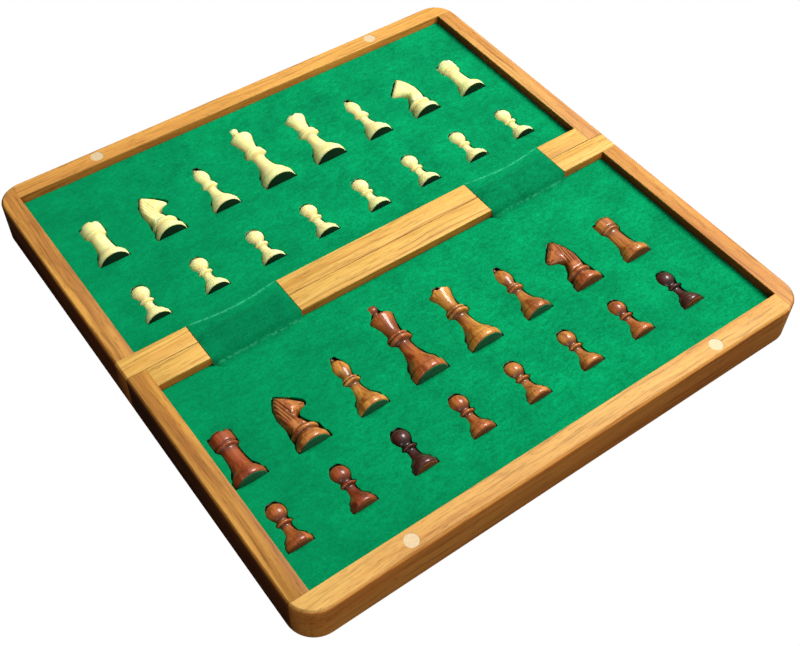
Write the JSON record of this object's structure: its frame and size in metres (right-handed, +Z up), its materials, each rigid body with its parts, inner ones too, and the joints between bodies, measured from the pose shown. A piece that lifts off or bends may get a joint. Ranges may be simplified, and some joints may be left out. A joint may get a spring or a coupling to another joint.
{
  "type": "folding chess board",
  "caption": "Folding wooden chess board case, open, with carved pieces half sunk in slotted green velvet inserts, closing magnets in the rails and covered hinges.",
  "frame": {"origin": "under the middle of the fold, on the surface that the open case lies on", "axes": "+X along the fold to the right, +Y from the near half to the far half, +Z up"},
  "size_m": [0.254, 0.256, 0.022],
  "materials": {
    "golden_rail_wood": "satin varnish",
    "panel_wood": "satin varnish",
    "dark_square_veneer": "satin varnish",
    "light_square_veneer": "satin varnish",
    "green_velvet": "short pile",
    "magnet_plating": "nickel plated",
    "hinge_brass": "plain",
    "pin_steel": "plain",
    "boxwood": "polished",
    "dark_piece_wood": "polished",
    "green_felt": "felt"
  },
  "bodies": {
    "half_b": {"outer_rail_b": "golden_rail_wood", "corner_side_rail_b": "golden_rail_wood", "fold_side_rail_b": "golden_rail_wood", "fold_bar_b": "golden_rail_wood", "base_panel_b": "panel_wood", "dark_squares_b": "dark_square_veneer", "light_squares_b": "light_square_veneer", "slotted_insert_b": "green_velvet", "magnets_b": "magnet_plating", "hinge_leaves_b": "hinge_brass", "hinge_screws_b": "hinge_brass", "hinge_pins": "pin_steel", "hinge_cover_left": "green_velvet", "hinge_cover_right": "green_velvet"},
    "half_a": {"outer_rail_a": "golden_rail_wood", "corner_side_rail_a": "golden_rail_wood", "fold_side_rail_a": "golden_rail_wood", "fold_bar_a": "golden_rail_wood", "base_panel_a": "panel_wood", "dark_squares_a": "dark_square_veneer", "light_squares_a": "light_square_veneer", "slotted_insert_a": "green_velvet", "magnets_a": "magnet_plating", "hinge_leaves_a": "hinge_brass", "hinge_screws_a": "hinge_brass"},
    "light_rook_left": {"light_rook_left": "boxwood"},
    "light_knight_left": {"light_knight_left": "boxwood"},
    "light_bishop_left": {"light_bishop_left": "boxwood"},
    "light_king": {"light_king": "boxwood"},
    "light_queen": {"light_queen": "boxwood"},
    "light_bishop_right": {"light_bishop_right": "boxwood"},
    "light_knight_right": {"light_knight_right": "boxwood"},
    "light_rook_right": {"light_rook_right": "boxwood"},
    "light_pawn_1": {"light_pawn_1": "boxwood"},
    "light_pawn_2": {"light_pawn_2": "boxwood"},
    "light_pawn_3": {"light_pawn_3": "boxwood"},
    "light_pawn_4": {"light_pawn_4": "boxwood"},
    "light_pawn_5": {"light_pawn_5": "boxwood"},
    "light_pawn_6": {"light_pawn_6": "boxwood"},
    "light_pawn_7": {"light_pawn_7": "boxwood"},
    "light_pawn_8": {"light_pawn_8": "boxwood"},
    "dark_rook_left": {"dark_rook_left": "dark_piece_wood"},
    "dark_knight_left": {"dark_knight_left": "dark_piece_wood"},
    "dark_bishop_left": {"dark_bishop_left": "dark_piece_wood"},
    "dark_king": {"dark_king": "dark_piece_wood"},
    "dark_queen": {"dark_queen": "dark_piece_wood"},
    "dark_bishop_right": {"dark_bishop_right": "dark_piece_wood"},
    "dark_knight_right": {"dark_knight_right": "dark_piece_wood"},
    "dark_rook_right": {"dark_rook_right": "dark_piece_wood"},
    "dark_pawn_1": {"dark_pawn_1": "dark_piece_wood"},
    "dark_pawn_2": {"dark_pawn_2": "dark_piece_wood"},
    "dark_pawn_3": {"dark_pawn_3": "dark_piece_wood"},
    "dark_pawn_4": {"dark_pawn_4": "dark_piece_wood"},
    "dark_pawn_5": {"dark_pawn_5": "dark_piece_wood"},
    "dark_pawn_6": {"dark_pawn_6": "dark_piece_wood"},
    "dark_pawn_7": {"dark_pawn_7": "dark_piece_wood"},
    "dark_pawn_8": {"dark_pawn_8": "dark_piece_wood"}
  },
  "joints": [
    {"name": "fold", "type": "hinge", "parent": "half_b", "child": "half_a", "pos_m": [0, 0, 0.02045], "axis": [-1, 0, 0], "range_deg": [-179.9, 0], "deforming": ["hinge_cover_left", "hinge_cover_right"]},
    {"name": "light_rook_left_lift", "type": "slide", "parent": "half_a", "child": "light_rook_left", "axis": [0, 0, 1], "range_m": [0, 0.03]},
    {"name": "light_knight_left_lift", "type": "slide", "parent": "half_a", "child": "light_knight_left", "axis": [0, 0, 1], "range_m": [0, 0.03]},
    {"name": "light_bishop_left_lift", "type": "slide", "parent": "half_a", "child": "light_bishop_left", "axis": [0, 0, 1], "range_m": [0, 0.03]},
    {"name": "light_king_lift", "type": "slide", "parent": "half_a", "child": "light_king", "axis": [0, 0, 1], "range_m": [0, 0.03]},
    {"name": "light_queen_lift", "type": "slide", "parent": "half_a", "child": "light_queen", "axis": [0, 0, 1], "range_m": [0, 0.03]},
    {"name": "light_bishop_right_lift", "type": "slide", "parent": "half_a", "child": "light_bishop_right", "axis": [0, 0, 1], "range_m": [0, 0.03]},
    {"name": "light_knight_right_lift", "type": "slide", "parent": "half_a", "child": "light_knight_right", "axis": [0, 0, 1], "range_m": [0, 0.03]},
    {"name": "light_rook_right_lift", "type": "slide", "parent": "half_a", "child": "light_rook_right", "axis": [0, 0, 1], "range_m": [0, 0.03]},
    {"name": "light_pawn_1_lift", "type": "slide", "parent": "half_a", "child": "light_pawn_1", "axis": [0, 0, 1], "range_m": [0, 0.03]},
    {"name": "light_pawn_2_lift", "type": "slide", "parent": "half_a", "child": "light_pawn_2", "axis": [0, 0, 1], "range_m": [0, 0.03]},
    {"name": "light_pawn_3_lift", "type": "slide", "parent": "half_a", "child": "light_pawn_3", "axis": [0, 0, 1], "range_m": [0, 0.03]},
    {"name": "light_pawn_4_lift", "type": "slide", "parent": "half_a", "child": "light_pawn_4", "axis": [0, 0, 1], "range_m": [0, 0.03]},
    {"name": "light_pawn_5_lift", "type": "slide", "parent": "half_a", "child": "light_pawn_5", "axis": [0, 0, 1], "range_m": [0, 0.03]},
    {"name": "light_pawn_6_lift", "type": "slide", "parent": "half_a", "child": "light_pawn_6", "axis": [0, 0, 1], "range_m": [0, 0.03]},
    {"name": "light_pawn_7_lift", "type": "slide", "parent": "half_a", "child": "light_pawn_7", "axis": [0, 0, 1], "range_m": [0, 0.03]},
    {"name": "light_pawn_8_lift", "type": "slide", "parent": "half_a", "child": "light_pawn_8", "axis": [0, 0, 1], "range_m": [0, 0.03]},
    {"name": "dark_rook_left_lift", "type": "slide", "parent": "half_b", "child": "dark_rook_left", "axis": [0, 0, 1], "range_m": [0, 0.03]},
    {"name": "dark_knight_left_lift", "type": "slide", "parent": "half_b", "child": "dark_knight_left", "axis": [0, 0, 1], "range_m": [0, 0.03]},
    {"name": "dark_bishop_left_lift", "type": "slide", "parent": "half_b", "child": "dark_bishop_left", "axis": [0, 0, 1], "range_m": [0, 0.03]},
    {"name": "dark_king_lift", "type": "slide", "parent": "half_b", "child": "dark_king", "axis": [0, 0, 1], "range_m": [0, 0.03]},
    {"name": "dark_queen_lift", "type": "slide", "parent": "half_b", "child": "dark_queen", "axis": [0, 0, 1], "range_m": [0, 0.03]},
    {"name": "dark_bishop_right_lift", "type": "slide", "parent": "half_b", "child": "dark_bishop_right", "axis": [0, 0, 1], "range_m": [0, 0.03]},
    {"name": "dark_knight_right_lift", "type": "slide", "parent": "half_b", "child": "dark_knight_right", "axis": [0, 0, 1], "range_m": [0, 0.03]},
    {"name": "dark_rook_right_lift", "type": "slide", "parent": "half_b", "child": "dark_rook_right", "axis": [0, 0, 1], "range_m": [0, 0.03]},
    {"name": "dark_pawn_1_lift", "type": "slide", "parent": "half_b", "child": "dark_pawn_1", "axis": [0, 0, 1], "range_m": [0, 0.03]},
    {"name": "dark_pawn_2_lift", "type": "slide", "parent": "half_b", "child": "dark_pawn_2", "axis": [0, 0, 1], "range_m": [0, 0.03]},
    {"name": "dark_pawn_3_lift", "type": "slide", "parent": "half_b", "child": "dark_pawn_3", "axis": [0, 0, 1], "range_m": [0, 0.03]},
    {"name": "dark_pawn_4_lift", "type": "slide", "parent": "half_b", "child": "dark_pawn_4", "axis": [0, 0, 1], "range_m": [0, 0.03]},
    {"name": "dark_pawn_5_lift", "type": "slide", "parent": "half_b", "child": "dark_pawn_5", "axis": [0, 0, 1], "range_m": [0, 0.03]},
    {"name": "dark_pawn_6_lift", "type": "slide", "parent": "half_b", "child": "dark_pawn_6", "axis": [0, 0, 1], "range_m": [0, 0.03]},
    {"name": "dark_pawn_7_lift", "type": "slide", "parent": "half_b", "child": "dark_pawn_7", "axis": [0, 0, 1], "range_m": [0, 0.03]},
    {"name": "dark_pawn_8_lift", "type": "slide", "parent": "half_b", "child": "dark_pawn_8", "axis": [0, 0, 1], "range_m": [0, 0.03]}
  ]
}
